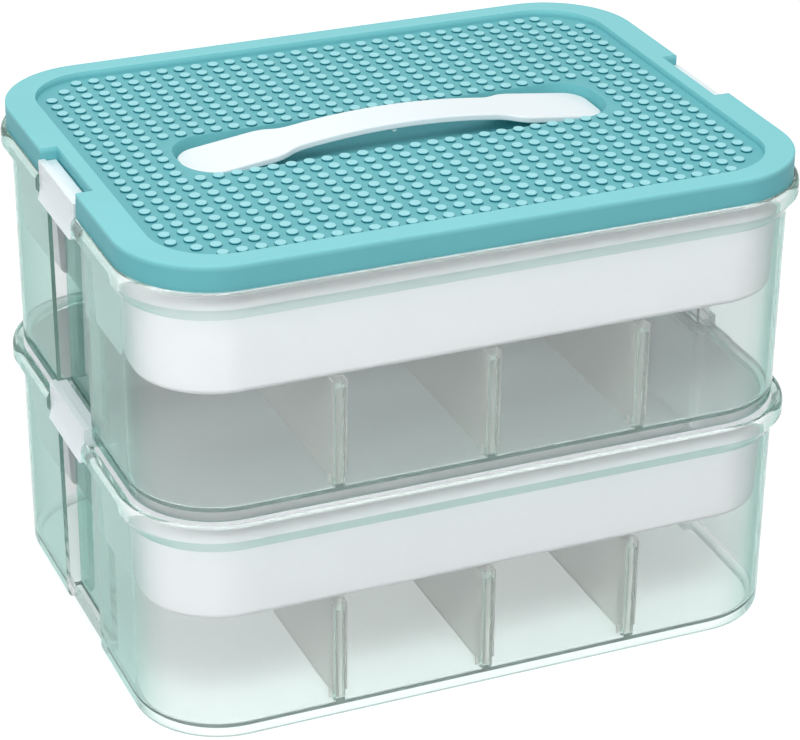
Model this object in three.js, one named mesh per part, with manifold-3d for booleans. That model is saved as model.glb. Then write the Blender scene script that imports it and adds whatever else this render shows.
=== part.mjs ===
// A two-tier storage box for building blocks, in millimetres, +Z up.
// Two clear boxes stack on each other and share one lid. Each box holds a lift-out tray
// over three divider plates, and carries two hinged side latches that grip what stands on it.
// The origin is the centre of the bottom of the lower box; X runs along the long side.
import * as THREE from "three";
import { mergeVertices } from "three/addons/utils/BufferGeometryUtils.js";
import Module from "manifold-3d";

const wasm = await Module();
wasm.setup();

// The footprint: the outline of the lid. Every inset below is measured inwards from it.
const lidLength = 299.5;
const lidWidth = 226.5;
const cornerRadius = 41;
const cornerSteps = 9;

// Heights of one tier, from the bottom of its box.
const shoulderHeight = 103.5; // what stands on the box rests here
const stackGap = 0.3; // running gap between stacked pieces
const tierPitch = shoulderHeight + stackGap;
const lipRise = 1.3; // the collar's lip above the shoulder

// The clear box: wall, floor, foot and collar.
const boxWall = 2.2;
const wallInset = 1.9; // outer face of the wall under the collar
const wallDraft = 0.7; // how much the wall leans in towards the bottom
const bottomEdge = 3.8; // rounded lower edge of the wall
const bottomEdgeInset = 2.3;
const bottomEdgeMiddleShare = 0.3;
const floorTop = 5.8;
const floorThickness = 2.4;
const footWidth = 2.5;
const collarOverhang = 2.6;
const collarFoot = 12.2; // how far the collar reaches below the shoulder
const collarBandBottom = 5.7;
const collarBandTop = 2.2;
const lipInset = -0.4; // inner face of the lip
const lipRound = 1.2;
const lipCrown = 0.2;
const neckInset = 2.2; // inner face of the wall between shoulder and tray ledge

// The channel in each short side, which takes the latch.
const channelWidth = 50;
const channelDepth = 9;
const channelWall = 2.2;

// The lift-out tray.
const trayFlange = 2;
const traySide = 0.3; // gap round the flange
const trayInset = 5.4;
const trayWall = 1.8;
const trayFloor = 2;
const trayDraft = 1.8;
const trayDepth = 48.2;
const trayEdge = 3.5;
const trayEdgeShare = 0.3;
const trayChannelGap = 0.5;

// The dividers: thin plates whose forked ends slide over ribs on the long walls.
const dividerPitch = 68;
const plateThickness = 2;
const forkWidth = 6.8;
const forkDepth = 5;
const forkWall = 1;
const forkFootRise = 5.5; // foot of the fork's legs above the floor
const dividerEndGap = 0.6;
const dividerTopGap = 0.6;
const ribClearance = 0.3;
const ribTopDrop = 3; // rib's top below the divider's
const ribWidth = forkWidth - 2 * (forkWall + ribClearance);
const ribDepth = dividerEndGap + forkDepth - forkWall - ribClearance;

// The lid: skirt, flat rim, sunken panel and the ring that centres it in the tray.
const lidHeight = 11.8;
const lidWall = 2.2;
const lidEdge = 0.8;
const rimWidth = 10.3; // along the long sides
const endRimWidth = 13.7; // along the short sides
const panelRadius = 29;
const panelSink = 2.8;
const plugInset = 7.8;
const plugThickness = 1.8;
const plugReach = 3;
const plugGap = 5;

// The studs of the panel. Each round stud is a square peg of about the same area.
const studPitch = 8;
const studWidth = 4.4;
const studHeight = 1.1;
const studMargin = 5; // least distance from a stud's middle to the panel's edge
const studRecessMargin = 2.45; // and to the edge of the recess

// The notch in each short side of the lid, and the catch that the latch grips.
const notchDepth = 7;
const catchHeight = 5;
const catchReach = 1.5;
const catchHeel = 0.4;

// The latch, measured from its pivot axis: outwards, then up.
const pivotDrop = 7.5; // pivot below the shoulder
const pivotInset = 1.5;
const latchSideGap = 0.4;
const latchClearance = 0.3;
const hookThickness = 1.2; // the hook's arm above the catch
const latchRidgeRise = 0.9; // ridge along the outer edge of the top
const latchRidgeWidth = 3;
const latchFace = 2.5; // outer face of the plate, outwards from the pivot
const latchPlate = 2.2;
const latchBarrel = 2.4;
const latchLip = 2;
const latchFlareTop = 5; // the face starts to flare outwards here
const latchFlareReach = 4.2;
const latchFlareDrop = 0.8;
const latchFlareThickness = 1;
const trunnionRadius = 1.4;
const trunnionLength = 2.6;
const roundSteps = 16;

// The carry handle and the boat-shaped recess that it lies in.
const gripTopRise = 3.2; // top of the grip above the rim
const gripHalfLength = 48;
const gripArch = 3.6;
const gripWidth = 21;
const paddleWidth = 30;
const paddleStep = 6;
const paddleDrop = 6.2;
const handleLength = 191;
const handleThickness = 3;
const handleEndRadius = 9;
const handleSteps = 12;
const legFromTip = 16;
const legPlace = handleLength / 2 - legFromTip;
const legWidth = 14;
const legThickness = 3;
const legSlotGap = 0.4;
const handleLift = 6;
const barbHeight = 2.5;
const barbReach = 1.5;
const recessEndGap = 2.6; // from the tip of the handle to the end of its recess
const recessLength = handleLength + 2 * recessEndGap;
const recessWidth = 43;
const recessRadius = 18;
const recessDepth = 7.1;
const recessSlope = 2.2;

const overrun = 5; // how far a cut runs past the face that it opens

const halfLength = lidLength / 2;
const halfWidth = lidWidth / 2;

const clearStyrene = new THREE.MeshStandardMaterial({
  color: 0xcfe9e2, roughness: 0.08, metalness: 0, transparent: true, opacity: 0.35,
});
const frostedStyrene = new THREE.MeshStandardMaterial({
  color: 0xdfe6df, roughness: 0.35, metalness: 0, transparent: true, opacity: 0.6,
});
const whitePlastic = new THREE.MeshStandardMaterial({ color: 0xf4f6f6, roughness: 0.35, metalness: 0 });
const tealPlastic = new THREE.MeshStandardMaterial({ color: 0x8fcdd4, roughness: 0.4, metalness: 0 });

// A closed mesh geometry as a solid that can be joined and cut.
function solidOf(geometry) {
  const bare = geometry.clone();
  bare.deleteAttribute("normal");
  bare.deleteAttribute("uv");
  const merged = mergeVertices(bare);
  return new wasm.Manifold(new wasm.Mesh({
    numProp: 3,
    vertProperties: merged.attributes.position.array,
    triVerts: new Uint32Array(merged.index.array),
  }));
}

function meshOf(name, solid, material) {
  const data = solid.getMesh();
  const geometry = new THREE.BufferGeometry();
  geometry.setAttribute("position", new THREE.BufferAttribute(data.vertProperties, 3));
  geometry.setIndex(new THREE.BufferAttribute(data.triVerts, 1));
  geometry.computeVertexNormals();
  const mesh = new THREE.Mesh(geometry, material);
  mesh.name = name;
  return mesh;
}

// One turn round a rounded rectangle at a given inset and height, anticlockwise from +X.
function ringPoints(footprint, inset, height) {
  const radius = footprint.radius - inset;
  const points = [];
  for (let corner = 0; corner < 4; corner++) {
    const signX = corner === 0 || corner === 3 ? 1 : -1;
    const signY = corner < 2 ? 1 : -1;
    for (let step = 0; step <= cornerSteps; step++) {
      const angle = (corner + step / cornerSteps) * (Math.PI / 2);
      points.push(
        signX * (footprint.halfX - footprint.radius) + radius * Math.cos(angle),
        signY * (footprint.halfY - footprint.radius) + radius * Math.sin(angle),
        height,
      );
    }
  }
  return points;
}

// A solid lofted through rounded rectangles, one for each [inset, height] of its profile,
// and closed by a flat face at each end.
function loft(footprint, profile) {
  const positions = profile.flatMap(([inset, height]) => ringPoints(footprint, inset, height));
  const perRing = 4 * (cornerSteps + 1);
  const last = profile.length - 1;
  const bottomCentre = positions.push(0, 0, profile[0][1]) / 3 - 1;
  const topCentre = positions.push(0, 0, profile[last][1]) / 3 - 1;
  const index = [];
  for (let k = 0; k < perRing; k++) {
    const next = (k + 1) % perRing;
    index.push(bottomCentre, next, k);
    index.push(topCentre, last * perRing + k, last * perRing + next);
    for (let ring = 0; ring < last; ring++) {
      const low = ring * perRing;
      const high = low + perRing;
      index.push(low + k, low + next, high + next);
      index.push(low + k, high + next, high + k);
    }
  }
  const geometry = new THREE.BufferGeometry();
  geometry.setAttribute("position", new THREE.Float32BufferAttribute(positions, 3));
  geometry.setIndex(index);
  return solidOf(geometry);
}

// A block given by its lowest and highest corners.
function block(low, high) {
  const geometry = new THREE.BoxGeometry(high[0] - low[0], high[1] - low[1], high[2] - low[2]);
  geometry.translate((low[0] + high[0]) / 2, (low[1] + high[1]) / 2, (low[2] + high[2]) / 2);
  return solidOf(geometry);
}

// The same block at both short ends of the box.
function endBlocks(inset, halfAcross, low, high) {
  const right = block(
    [halfLength - inset, -halfAcross, low],
    [halfLength + overrun, halfAcross, high],
  );
  return right.add(right.mirror([1, 0, 0]));
}

// A section drawn in X and Z, extruded across Y.
function acrossY(outline, halfAcross) {
  const shape = new THREE.Shape(outline.map(([x, z]) => new THREE.Vector2(x, z)));
  const geometry = new THREE.ExtrudeGeometry(shape, { depth: 2 * halfAcross, bevelEnabled: false });
  geometry.rotateX(Math.PI / 2);
  geometry.translate(0, halfAcross, 0);
  return solidOf(geometry);
}

function rodAlongY(radius, centre, from, to) {
  const geometry = new THREE.CylinderGeometry(radius, radius, to - from, roundSteps);
  geometry.translate(centre[0], (from + to) / 2, centre[1]);
  return solidOf(geometry);
}

const footprint = { halfX: halfLength, halfY: halfWidth, radius: cornerRadius };
const wallFootInset = wallInset + wallDraft;
const ledgeHeight = shoulderHeight - trayFlange - stackGap;
const innerTopInset = wallInset + boxWall;
const innerFootInset = wallFootInset + boxWall;
const dividerTop = shoulderHeight - trayDepth - dividerTopGap;
const pivotHeight = shoulderHeight - pivotDrop;
const pivotX = halfLength - pivotInset;
const panel = {
  halfX: halfLength - endRimWidth,
  halfY: halfWidth - rimWidth,
  radius: panelRadius,
};
const recess = { halfX: recessLength / 2, halfY: recessWidth / 2, radius: recessRadius };

// The catch on a wall that faces outwards: a wedge that widens downwards.
function catchWedge(wallX, bottom) {
  const wedgeX = halfLength - notchDepth;
  const right = acrossY([
    [wallX - boxWall / 2, bottom],
    [wedgeX + catchReach, bottom],
    [wedgeX + catchReach, bottom + catchHeel],
    [wedgeX, bottom + catchHeight],
    [wallX - boxWall / 2, bottom + catchHeight],
  ], channelWidth / 2);
  return right.add(right.mirror([1, 0, 0]));
}

function makeBox() {
  const lipTop = shoulderHeight + lipRise;
  const outside = loft(footprint, [
    [wallFootInset + bottomEdgeInset, 0],
    [wallFootInset + bottomEdgeInset * bottomEdgeMiddleShare, bottomEdge * bottomEdgeMiddleShare],
    [wallFootInset, bottomEdge],
    [wallInset, shoulderHeight - collarFoot],
    [-collarOverhang, shoulderHeight - collarBandBottom],
    [-collarOverhang, shoulderHeight - collarBandTop],
    [lipInset - lipRound, lipTop - lipCrown],
    [lipInset, lipTop],
  ]);
  const inside = loft(footprint, [
    [innerFootInset + boxWall / 2, floorTop],
    [innerFootInset, floorTop + boxWall / 2],
    [innerTopInset, ledgeHeight],
    [neckInset, ledgeHeight],
    [neckInset, shoulderHeight],
    [lipInset, shoulderHeight],
    [lipInset, lipTop + overrun],
  ]);
  const channelBack = channelDepth + channelWall;
  const channelHalf = channelWidth / 2 + channelWall;
  const hollow = inside.subtract(endBlocks(channelBack, channelHalf, 0, shoulderHeight));
  const underside = loft(footprint, [
    [wallFootInset + bottomEdgeInset + footWidth, -overrun],
    [wallFootInset + bottomEdgeInset + footWidth, floorTop - floorThickness],
  ]).subtract(endBlocks(channelBack, channelHalf, -overrun, shoulderHeight));
  const channels = endBlocks(channelDepth, channelWidth / 2, -overrun, lipTop + overrun);
  let box = outside.subtract(hollow).subtract(underside).subtract(channels);
  box = box.add(catchWedge(halfLength - channelDepth, 0));
  for (const side of [-1, 1]) {
    const reach = channelWidth / 2 + trunnionLength;
    const socket = rodAlongY(trunnionRadius + latchClearance, [side * pivotX, pivotHeight], -reach, reach);
    box = box.subtract(socket);
  }
  const ribRoot = halfWidth - innerFootInset;
  for (const column of [-1, 0, 1]) {
    const x = column * dividerPitch;
    const rib = block(
      [x - ribWidth / 2, ribRoot - ribDepth, floorTop - floorThickness / 2],
      [x + ribWidth / 2, ribRoot + boxWall / 2, dividerTop - ribTopDrop],
    );
    box = box.add(rib).add(rib.mirror([0, 1, 0]));
  }
  return box;
}

function makeTray() {
  const bottom = shoulderHeight - trayDepth;
  const footInset = trayInset + trayDraft;
  const flangeInset = neckInset + traySide;
  const outside = loft(footprint, [
    [footInset + trayEdge, bottom],
    [footInset + trayEdge * trayEdgeShare, bottom + trayEdge * trayEdgeShare],
    [footInset, bottom + trayEdge],
    [trayInset, shoulderHeight - trayFlange],
    [flangeInset, shoulderHeight - trayFlange],
    [flangeInset, shoulderHeight],
  ]);
  const inside = loft(footprint, [
    [footInset + trayWall + trayEdge, bottom + trayFloor],
    [footInset + trayWall, bottom + trayFloor + trayEdge],
    [trayInset + trayWall, shoulderHeight],
    [trayInset + trayWall, shoulderHeight + overrun],
  ]);
  const back = channelDepth + channelWall + trayChannelGap;
  const half = channelWidth / 2 + channelWall + trayChannelGap;
  const clearance = endBlocks(back, half, 0, shoulderHeight + overrun);
  const returnWall = endBlocks(back + trayWall, half + trayWall, 0, shoulderHeight + 2 * overrun);
  return outside.subtract(clearance).subtract(inside.subtract(returnWall));
}

function makeDivider() {
  const end = halfWidth - innerFootInset - dividerEndGap;
  const bottom = floorTop + stackGap;
  const plate = block(
    [-plateThickness / 2, forkDepth - forkWall / 2 - end, bottom],
    [plateThickness / 2, end - forkDepth + forkWall / 2, dividerTop],
  );
  const web = block(
    [-forkWidth / 2, end - forkDepth, bottom],
    [forkWidth / 2, end - forkDepth + forkWall, dividerTop],
  );
  const legs = block(
    [-forkWidth / 2, end - forkDepth, floorTop + forkFootRise],
    [forkWidth / 2, end, dividerTop],
  ).subtract(block(
    [forkWall - forkWidth / 2, end - forkDepth, bottom],
    [forkWidth / 2 - forkWall, end + overrun, dividerTop + overrun],
  ));
  const fork = web.add(legs);
  return plate.add(fork).add(fork.mirror([0, 1, 0]));
}

// The latch in its own frame: X outwards from the pivot axis, Z up.
function makeLatch() {
  const half = channelWidth / 2 - latchSideGap;
  const catchBottom = tierPitch - pivotHeight;
  const wedgeX = pivotInset - notchDepth;
  const backX = latchFace - latchPlate;
  const ridgeX = latchFace - latchRidgeWidth;
  const armTop = catchBottom + catchHeight + hookThickness;
  const hook = acrossY([
    [latchFace, armTop + latchRidgeRise],
    [ridgeX, armTop + latchRidgeRise],
    [ridgeX, armTop],
    [wedgeX + latchClearance, armTop],
    [wedgeX + latchClearance, catchBottom + catchHeight],
    [wedgeX + latchClearance + catchReach, catchBottom + catchHeel],
    [backX, catchBottom + catchHeel - latchLip],
    [backX, 0],
    [latchFace, 0],
  ], half);
  const flare = acrossY([
    [latchFace, latchFlareTop],
    [0, latchBarrel / 2],
    [0, -latchBarrel / 2],
    [latchFlareReach - latchFlareThickness, -latchFlareDrop],
    [latchFlareReach, -latchFlareDrop + latchFlareThickness / 2],
  ], half);
  const barrel = rodAlongY(latchBarrel, [0, 0], -half, half);
  const reach = half + trunnionLength - latchClearance;
  const trunnions = rodAlongY(trunnionRadius, [0, 0], -reach, reach);
  return hook.add(flare).add(barrel).add(trunnions);
}

// How far a point lies outside the rounded rectangle; negative inside it.
function distanceOutside(shape, x, y) {
  const pastX = Math.abs(x) - (shape.halfX - shape.radius);
  const pastY = Math.abs(y) - (shape.halfY - shape.radius);
  const corner = Math.hypot(Math.max(pastX, 0), Math.max(pastY, 0));
  return corner + Math.min(Math.max(pastX, pastY), 0) - shape.radius;
}

// The studs stand on one grid, wherever a whole stud fits between the rim and the recess.
function makeStuds(panelTop) {
  const columns = Math.floor(panel.halfX / studPitch);
  const rows = Math.floor(panel.halfY / studPitch);
  const half = studWidth / 2;
  const studs = [];
  for (let column = -columns; column <= columns; column++) {
    for (let row = -rows; row <= rows; row++) {
      const x = column * studPitch;
      const y = row * studPitch;
      const clearOfRim = distanceOutside(panel, x, y) <= -studMargin;
      const clearOfRecess = distanceOutside(recess, x, y) >= studRecessMargin;
      if (clearOfRim && clearOfRecess) {
        studs.push(block(
          [x - half, y - half, panelTop - lidWall / 2],
          [x + half, y + half, panelTop + studHeight],
        ));
      }
    }
  }
  return wasm.Manifold.union(studs);
}

function makeLid() {
  const panelTop = lidHeight - panelSink;
  const outside = loft(footprint, [
    [0, 0],
    [0, lidHeight - lidEdge],
    [lidEdge, lidHeight],
  ]);
  const panelCut = loft(panel, [
    [0, panelTop],
    [0, lidHeight + overrun],
  ]);
  const panelUnder = loft(panel, [
    [-lidWall, panelTop - lidWall],
    [-lidWall, lidHeight],
  ]);
  const underside = loft(footprint, [
    [lidWall, -overrun],
    [lidWall, lidHeight - lidWall],
  ]).subtract(panelUnder);
  const notchBack = notchDepth + lidWall;
  const notchHalf = channelWidth / 2 + lidWall;
  const notchWalls = endBlocks(notchBack, notchHalf, 0, lidHeight).intersect(outside);
  const notches = endBlocks(notchDepth, channelWidth / 2, -overrun, lidHeight + overrun);
  const plug = loft(footprint, [
    [plugInset, -plugReach],
    [plugInset, lidHeight - lidWall / 2],
  ]).subtract(loft(footprint, [
    [plugInset + plugThickness, -plugReach - overrun],
    [plugInset + plugThickness, lidHeight],
  ])).subtract(endBlocks(
    channelDepth + channelWall + endRimWidth,
    channelWidth / 2 + channelWall + plugGap,
    -plugReach - overrun,
    lidHeight,
  ));
  const pocket = loft(recess, [
    [recessSlope, panelTop - recessDepth],
    [0, panelTop],
    [0, lidHeight + overrun],
  ]);
  const pocketShell = loft(recess, [
    [recessSlope - lidWall / 2, panelTop - recessDepth - lidWall],
    [-lidWall, panelTop - lidWall / 2],
  ]);
  let lid = outside.subtract(panelCut).subtract(underside);
  lid = lid.add(notchWalls).subtract(notches).add(catchWedge(halfLength - notchDepth, 0));
  lid = lid.add(plug).add(pocketShell).subtract(pocket).add(makeStuds(panelTop));
  for (const side of [-1, 1]) {
    const x = side * legPlace;
    const halfX = legThickness / 2 + legSlotGap;
    const halfY = legWidth / 2 + legSlotGap;
    lid = lid.subtract(block([x - halfX, -halfY, -plugReach], [x + halfX, halfY, panelTop]));
  }
  return lid;
}

// The handle in the lid's frame: an arched strap with wide flat ends. Each end has a
// barbed leg that slides in a slot of the recess, so the strap can be drawn up.
function makeHandle() {
  const crown = lidHeight + gripTopRise;
  const tip = handleLength / 2;
  const tipTop = crown - gripArch - paddleDrop;
  const top = [[-tip, tipTop]];
  for (let step = -handleSteps; step <= handleSteps; step++) {
    const share = step / handleSteps;
    top.push([share * gripHalfLength, crown - gripArch * share * share]);
  }
  top.push([tip, tipTop]);
  const under = top.map(([x, z]) => [x, z - handleThickness]).reverse();
  const strap = acrossY(top.concat(under), paddleWidth / 2);

  const halfGrip = gripWidth / 2;
  const halfPaddle = paddleWidth / 2;
  const shoulderX = gripHalfLength + paddleStep;
  const corner = tip - handleEndRadius;
  const plan = new THREE.Shape();
  plan.moveTo(-gripHalfLength, -halfGrip);
  plan.lineTo(gripHalfLength, -halfGrip);
  plan.lineTo(shoulderX, -halfPaddle);
  plan.absarc(corner, -halfPaddle + handleEndRadius, handleEndRadius, -Math.PI / 2, 0);
  plan.absarc(corner, halfPaddle - handleEndRadius, handleEndRadius, 0, Math.PI / 2);
  plan.lineTo(shoulderX, halfPaddle);
  plan.lineTo(gripHalfLength, halfGrip);
  plan.lineTo(-gripHalfLength, halfGrip);
  plan.lineTo(-shoulderX, halfPaddle);
  plan.absarc(-corner, halfPaddle - handleEndRadius, handleEndRadius, Math.PI / 2, Math.PI);
  plan.absarc(-corner, -halfPaddle + handleEndRadius, handleEndRadius, Math.PI, -Math.PI / 2);
  plan.lineTo(-shoulderX, -halfPaddle);
  const planDepth = crown - tipTop + handleThickness + 2 * overrun;
  const planSolid = new THREE.ExtrudeGeometry(plan, {
    depth: planDepth, bevelEnabled: false, curveSegments: cornerSteps,
  });
  planSolid.translate(0, 0, tipTop - handleThickness - overrun);
  let handle = strap.intersect(solidOf(planSolid));

  const recessUnder = lidHeight - panelSink - recessDepth - lidWall;
  const barbTop = recessUnder - stackGap - handleLift;
  for (const side of [-1, 1]) {
    const x = side * legPlace;
    handle = handle.add(acrossY([
      [x - legThickness / 2, tipTop],
      [x - legThickness / 2, barbTop],
      [x - legThickness / 2 - barbReach, barbTop],
      [x - legThickness / 2, barbTop - barbHeight],
      [x + legThickness / 2, barbTop - barbHeight],
      [x + legThickness / 2 + barbReach, barbTop],
      [x + legThickness / 2, barbTop],
      [x + legThickness / 2, tipTop],
    ], legWidth / 2));
  }
  return handle;
}

const boxSolid = makeBox();
const traySolid = makeTray();
const dividerSolid = makeDivider();
const latchSolid = makeLatch();

const group = new THREE.Group();

["lower", "upper"].forEach((level, tierIndex) => {
  const tier = new THREE.Group();
  tier.position.z = tierIndex * tierPitch;
  tier.add(meshOf(level + "_box", boxSolid, clearStyrene));
  tier.add(meshOf(level + "_tray", traySolid, whitePlastic));
  ["left", "middle", "right"].forEach((place, column) => {
    const divider = meshOf(level + "_" + place + "_divider", dividerSolid, frostedStyrene);
    divider.position.x = (column - 1) * dividerPitch;
    tier.add(divider);
  });
  for (const [place, side] of [["left", -1], ["right", 1]]) {
    const latch = meshOf(level + "_" + place + "_latch", latchSolid, whitePlastic);
    latch.position.set(side * pivotX, 0, pivotHeight);
    latch.rotation.z = side < 0 ? Math.PI : 0;
    tier.add(latch);
  }
  group.add(tier);
});

const top = new THREE.Group();
top.position.z = 2 * tierPitch;
top.add(meshOf("lid", makeLid(), tealPlastic));
top.add(meshOf("carry_handle", makeHandle(), whitePlastic));
group.add(top);

export default group;
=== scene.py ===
"""A two-tier clear storage case with a studded lid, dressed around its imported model."""

import math

import bmesh
import bpy
from mathutils import Matrix, Quaternion, Vector


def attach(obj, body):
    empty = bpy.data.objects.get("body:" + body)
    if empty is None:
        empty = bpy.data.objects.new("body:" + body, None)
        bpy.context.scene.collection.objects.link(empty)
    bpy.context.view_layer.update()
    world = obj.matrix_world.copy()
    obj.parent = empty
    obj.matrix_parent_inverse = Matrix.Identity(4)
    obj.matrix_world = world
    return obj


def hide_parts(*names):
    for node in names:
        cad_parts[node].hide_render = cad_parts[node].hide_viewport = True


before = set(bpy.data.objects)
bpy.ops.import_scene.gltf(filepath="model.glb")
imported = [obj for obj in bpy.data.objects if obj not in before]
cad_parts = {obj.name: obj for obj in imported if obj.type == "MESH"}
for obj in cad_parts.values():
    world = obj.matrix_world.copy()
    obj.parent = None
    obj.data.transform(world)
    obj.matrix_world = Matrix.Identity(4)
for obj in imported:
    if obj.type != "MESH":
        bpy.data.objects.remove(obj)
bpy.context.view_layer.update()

# Camera. It stands to the front left and looks down on the case with a long lens. Its place
# was solved from the grid of studs on the lid, whose pitch is known.
FOCAL_PIXELS = 2918.6
FRAME_PIXELS = 800
SENSOR_MM = 36.0
LOOKS_AT = Vector((-0.08738, -0.21517, 0.2176))
AZIMUTH, ELEVATION, ROLL = math.radians(-23.058), math.radians(27.035), math.radians(0.575)
DISTANCE = 1.045
FAR_CLIP = 20

towards_camera = Vector((
    math.sin(AZIMUTH) * math.cos(ELEVATION),
    -math.cos(AZIMUTH) * math.cos(ELEVATION),
    math.sin(ELEVATION),
))
camera = bpy.data.objects.new("camera", bpy.data.cameras.new("camera"))
camera.data.sensor_width = SENSOR_MM
camera.data.lens = FOCAL_PIXELS / FRAME_PIXELS * SENSOR_MM
camera.data.clip_end = FAR_CLIP
camera.location = LOOKS_AT + DISTANCE * towards_camera
camera.rotation_mode = "QUATERNION"
camera.rotation_quaternion = towards_camera.to_track_quat("Z", "Y") @ Quaternion((0, 0, 1), ROLL)
bpy.context.collection.objects.link(camera)
bpy.context.scene.camera = camera

# Clear boxes, lower and upper. Each is one injection moulding in clear polystyrene: a foot
# ring, a collar that flares out past the lid, a shoulder for what stands on it, and a
# channel in each short side for the latch. Ribs on the long walls carry the dividers.
MM = 0.001  # sizes are in millimetres, and an inset is inwards from an outline
LID_LENGTH, LID_WIDTH, CORNER_RADIUS = 299.5, 226.5, 41
CORNER_SEGMENTS, ROD_SEGMENTS = 16, 32
GAP = 0.3  # between pieces that slide or stand on each other
SHOULDER = 103.5
TIERS = (("lower", 0), ("upper", SHOULDER + GAP))
LIP_TOP, LIP_INSET = SHOULDER + 1.3, -0.4
COLLAR_FOOT, BAND_BOTTOM, BAND_TOP = SHOULDER - 12.2, SHOULDER - 5.7, SHOULDER - 2.2
COLLAR_INSET = -2.6
BOX_WALL = 2.2
WALL_TOP_INSET, WALL_FOOT_INSET = 1.9, 2.6
BOTTOM_EDGE_INSET, BOTTOM_EDGE_HEIGHT = 2.3, 3.8
FOOT_WIDTH = 2.5
FLOOR_TOP, FLOOR_THICKNESS, FLOOR_EDGE = 5.8, 2.4, 1.8
TRAY_FLANGE = 2
NECK_INSET, LEDGE = 2.2, SHOULDER - TRAY_FLANGE - GAP
CHANNEL_WIDTH, CHANNEL_DEPTH = 50, 9
CATCH_BACK, CATCH_REACH, CATCH_HEEL, CATCH_HEIGHT = LID_LENGTH / 2 - 7, 1.5, 0.4, 5
DIVIDER_PLACES, DIVIDER_PITCH = (-1, 0, 1), 68
RIB_WIDTH, RIB_DEPTH, RIB_TOP = 4.2, 4.3, 51.7
PIVOT_X, PIVOT_HEIGHT = LID_LENGTH / 2 - 1.5, SHOULDER - 7.5
TRUNNION_RADIUS, TRUNNION_LENGTH = 1.4, 2.6
OVERRUN = 5  # of a cut past what it cuts
WELD, SLIVER = 0.01, 0.02  # points that lie closer are merged
FLAT_WITHIN, SHARP_FROM = math.radians(0.5), math.radians(32)
BOX_EDGE_ROUNDING = 0.5


def of_kind(geometry, kind):
    """The vertices, or the faces, among what an operator gives back."""
    return [part for part in geometry if isinstance(part, kind)]


def rounded_loft(length, width, radius, profile):
    """A solid drawn up through rounded rectangles, one for each (inset, height)."""
    bm = bmesh.new()
    inset, height = profile[0]
    corners = bmesh.ops.create_grid(bm, x_segments=1, y_segments=1, size=0.5)["verts"]
    bmesh.ops.scale(bm, verts=corners, vec=((length - 2 * inset) * MM, (width - 2 * inset) * MM, 1))
    bmesh.ops.bevel(
        bm, geom=corners, offset=(radius - inset) * MM, segments=CORNER_SEGMENTS,
        profile=0.5, affect="VERTICES", material=-1,
    )
    bmesh.ops.translate(bm, verts=bm.verts[:], vec=(0, 0, height * MM))
    raised = bmesh.ops.extrude_face_region(bm, geom=bm.faces[:], use_keep_orig=True)["geom"]
    face = of_kind(raised, bmesh.types.BMFace)[0]
    for (inset, height), (next_inset, next_height) in zip(profile, profile[1:]):
        if face.normal.z < 0:
            face.normal_flip()
        bmesh.ops.inset_individual(
            bm, faces=[face], thickness=(next_inset - inset) * MM,
            depth=(next_height - height) * MM, use_even_offset=True,
        )
    bmesh.ops.remove_doubles(bm, verts=bm.verts[:], dist=WELD * MM)
    bmesh.ops.recalc_face_normals(bm, faces=bm.faces[:])
    return bm


def quarter_turn(start, end, leaves_along, steps=5):
    """Points of a quarter turn between two (inset, height) points, without the first."""
    points = []
    for step in range(1, steps + 1):
        turn = math.pi / 2 * step / steps
        fast, slow = math.sin(turn), 1 - math.cos(turn)
        inset_share, height_share = (fast, slow) if leaves_along == "inset" else (slow, fast)
        points.append((
            start[0] + (end[0] - start[0]) * inset_share,
            start[1] + (end[1] - start[1]) * height_share,
        ))
    return points


def block(low, high):
    """A block between two opposite corners."""
    bm = bmesh.new()
    bmesh.ops.create_cube(bm, size=1)
    low, high = Vector(low) * MM, Vector(high) * MM
    bmesh.ops.scale(bm, verts=bm.verts[:], vec=high - low)
    bmesh.ops.translate(bm, verts=bm.verts[:], vec=(low + high) / 2)
    return bm


def rod_across(radius, centre, reach):
    """A rod along Y, centred on it, at an (x, z) place."""
    bm = bmesh.new()
    bmesh.ops.create_cone(
        bm, cap_ends=True, segments=ROD_SEGMENTS, radius1=radius * MM, radius2=radius * MM,
        depth=2 * reach * MM,
    )
    bmesh.ops.rotate(bm, verts=bm.verts[:], matrix=Matrix.Rotation(math.pi / 2, 3, "X"))
    bmesh.ops.translate(bm, verts=bm.verts[:], vec=Vector((centre[0], 0, centre[1])) * MM)
    return bm


def section_across(outline, half_across):
    """A section given as (x, z) points, extruded along Y to both sides."""
    bm = bmesh.new()
    face = bm.faces.new([bm.verts.new((x * MM, -half_across * MM, z * MM)) for x, z in outline])
    far = bmesh.ops.extrude_face_region(bm, geom=[face], use_keep_orig=True)["geom"]
    far_verts = of_kind(far, bmesh.types.BMVert)
    bmesh.ops.translate(bm, verts=far_verts, vec=(0, 2 * half_across * MM, 0))
    bmesh.ops.recalc_face_normals(bm, faces=bm.faces[:])
    return bm


def and_mirrored(bm, axis="X"):
    """Adds the solid's mirror image on the other side of the case."""
    normal = Vector((axis == "X", axis == "Y", 0))
    image = bmesh.ops.duplicate(bm, geom=bm.faces[:])["geom"]
    image_verts = of_kind(image, bmesh.types.BMVert)
    bmesh.ops.scale(bm, verts=image_verts, vec=Vector((1, 1, 1)) - 2 * normal)
    bmesh.ops.reverse_faces(bm, faces=of_kind(image, bmesh.types.BMFace))
    return bm


def end_blocks(inset, half_across, low, high):
    """The same block in both short ends, from an inset out past the wall."""
    inner = LID_LENGTH / 2 - inset
    outer = LID_LENGTH / 2 + OVERRUN
    return and_mirrored(block((inner, -half_across, low), (outer, half_across, high)))


def latch_catches(back, half_across):
    """The wedge that a latch hooks over, in both short ends, from its root inside a wall."""
    return and_mirrored(section_across([
        (back, 0),
        (CATCH_BACK + CATCH_REACH, 0),
        (CATCH_BACK + CATCH_REACH, CATCH_HEEL),
        (CATCH_BACK, CATCH_HEIGHT),
        (back, CATCH_HEIGHT),
    ], half_across))


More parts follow.
